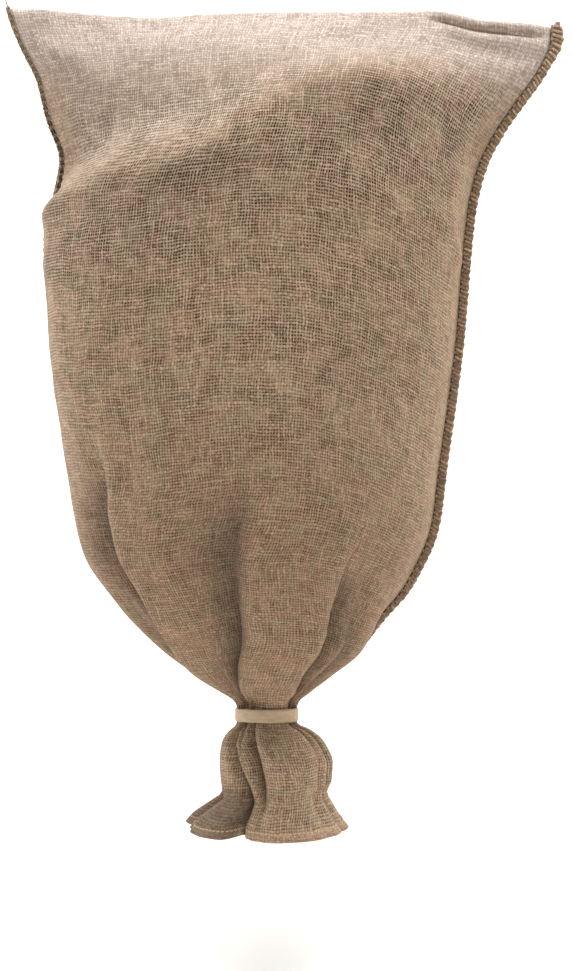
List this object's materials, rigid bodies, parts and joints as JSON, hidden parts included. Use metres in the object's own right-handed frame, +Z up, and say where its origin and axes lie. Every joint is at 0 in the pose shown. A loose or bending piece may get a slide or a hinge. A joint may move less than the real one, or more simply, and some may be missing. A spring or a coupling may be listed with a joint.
{
  "type": "burlap winter cover sack, tied at the neck",
  "caption": "Loose-woven jute sack pulled over a plant from above: full body, wide folded top with ears, neck gathered by a flat band, short skirt below, overlocked sides.",
  "frame": {"origin": "underside of the top fold, at its middle, where the covered thing carries the sack", "axes": "+Z up, +X to the right of someone who faces the front, -Y towards them"},
  "size_m": [0.5744, 0.3079, 0.8794],
  "materials": {
    "burlap": "natural jute, loose plain weave, dry and hairy",
    "seam_yarn": "overlocking yarn, thick and matt",
    "tie_tape": "flat woven tape, beige and matt"
  },
  "bodies": {
    "root": {"sack_cloth": "burlap", "seam_edging_right": "seam_yarn", "seam_edging_left": "seam_yarn", "tie_band": "tie_tape"}
  },
  "joints": []
}
